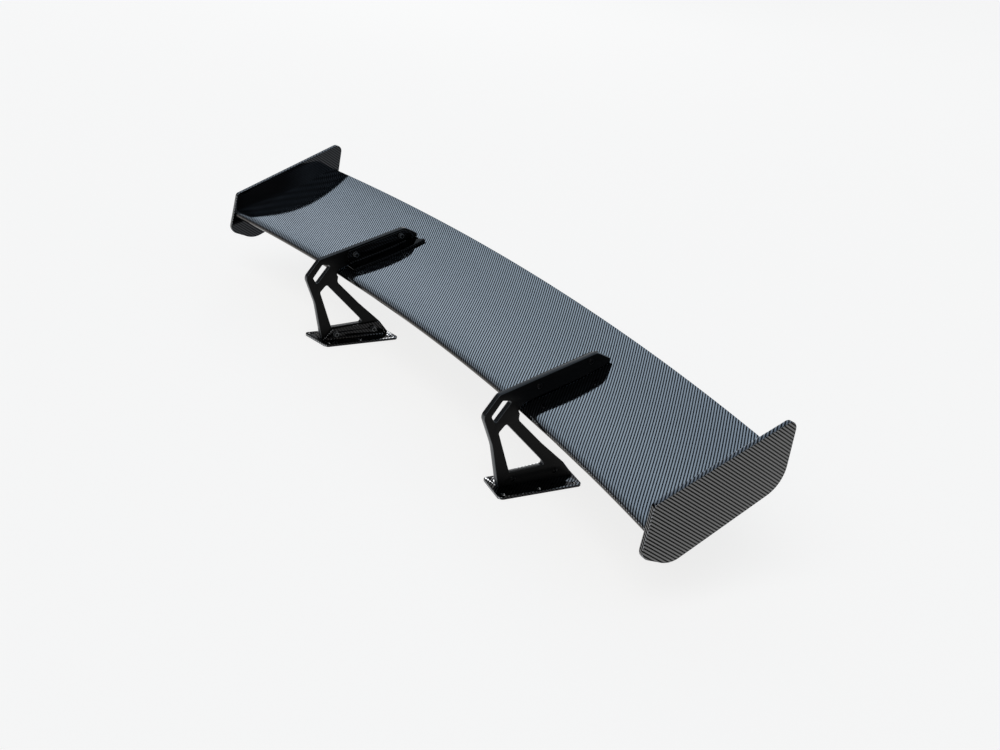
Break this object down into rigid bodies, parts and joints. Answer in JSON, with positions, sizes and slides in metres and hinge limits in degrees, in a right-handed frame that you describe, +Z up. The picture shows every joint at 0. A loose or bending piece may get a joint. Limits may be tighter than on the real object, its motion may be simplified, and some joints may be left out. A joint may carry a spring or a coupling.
{
  "type": "racing rear wing",
  "caption": "Swan-neck racing rear wing with a bowed hollow carbon blade, end plates, slotted black uprights, moulded top brackets and drilled base plates.",
  "frame": {"origin": "under the middle of the wing in plan, on the plane that the two base plates rest on", "axes": "+X along the span towards the left side of the car, +Y towards the rear of the car, +Z up from the base plates"},
  "size_m": [1.4, 0.2699, 0.2489],
  "materials": {
    "blade_carbon": "glossy clear coat over 2x2 carbon twill",
    "bracket_carbon": "glossy clear coat over 2x2 carbon twill",
    "spar_carbon": "bare cured carbon laminate, matte",
    "core_foam": "cut closed-cell foam, matte",
    "plywood": "birch plywood, unfinished",
    "anodised_black": "bead-blasted and black anodised, satin",
    "black_steel": "black oxide",
    "zinc_steel": "zinc plated",
    "dowel_steel": "ground"
  },
  "bodies": {
    "root": {"blade_upper_skin": "blade_carbon", "blade_lower_skin": "blade_carbon", "nose_core": "core_foam", "front_spar": "spar_carbon", "box_ribs": "plywood", "hardpoint_left": "plywood", "hardpoint_right": "plywood", "rear_spar": "spar_carbon", "tail_core": "core_foam", "end_rib_left": "plywood", "end_rib_right": "plywood", "end_plate_left": "blade_carbon", "end_plate_right": "blade_carbon", "end_plate_dowels": "dowel_steel", "upright_left": "anodised_black", "upright_right": "anodised_black", "top_bracket_left": "bracket_carbon", "top_bracket_right": "bracket_carbon", "foot_bracket_left": "bracket_carbon", "foot_bracket_right": "bracket_carbon", "arm_screws": "black_steel", "arm_washers": "zinc_steel", "arm_nuts": "zinc_steel", "foot_screws": "black_steel", "foot_washers": "zinc_steel", "foot_nuts": "zinc_steel"}
  },
  "joints": []
}
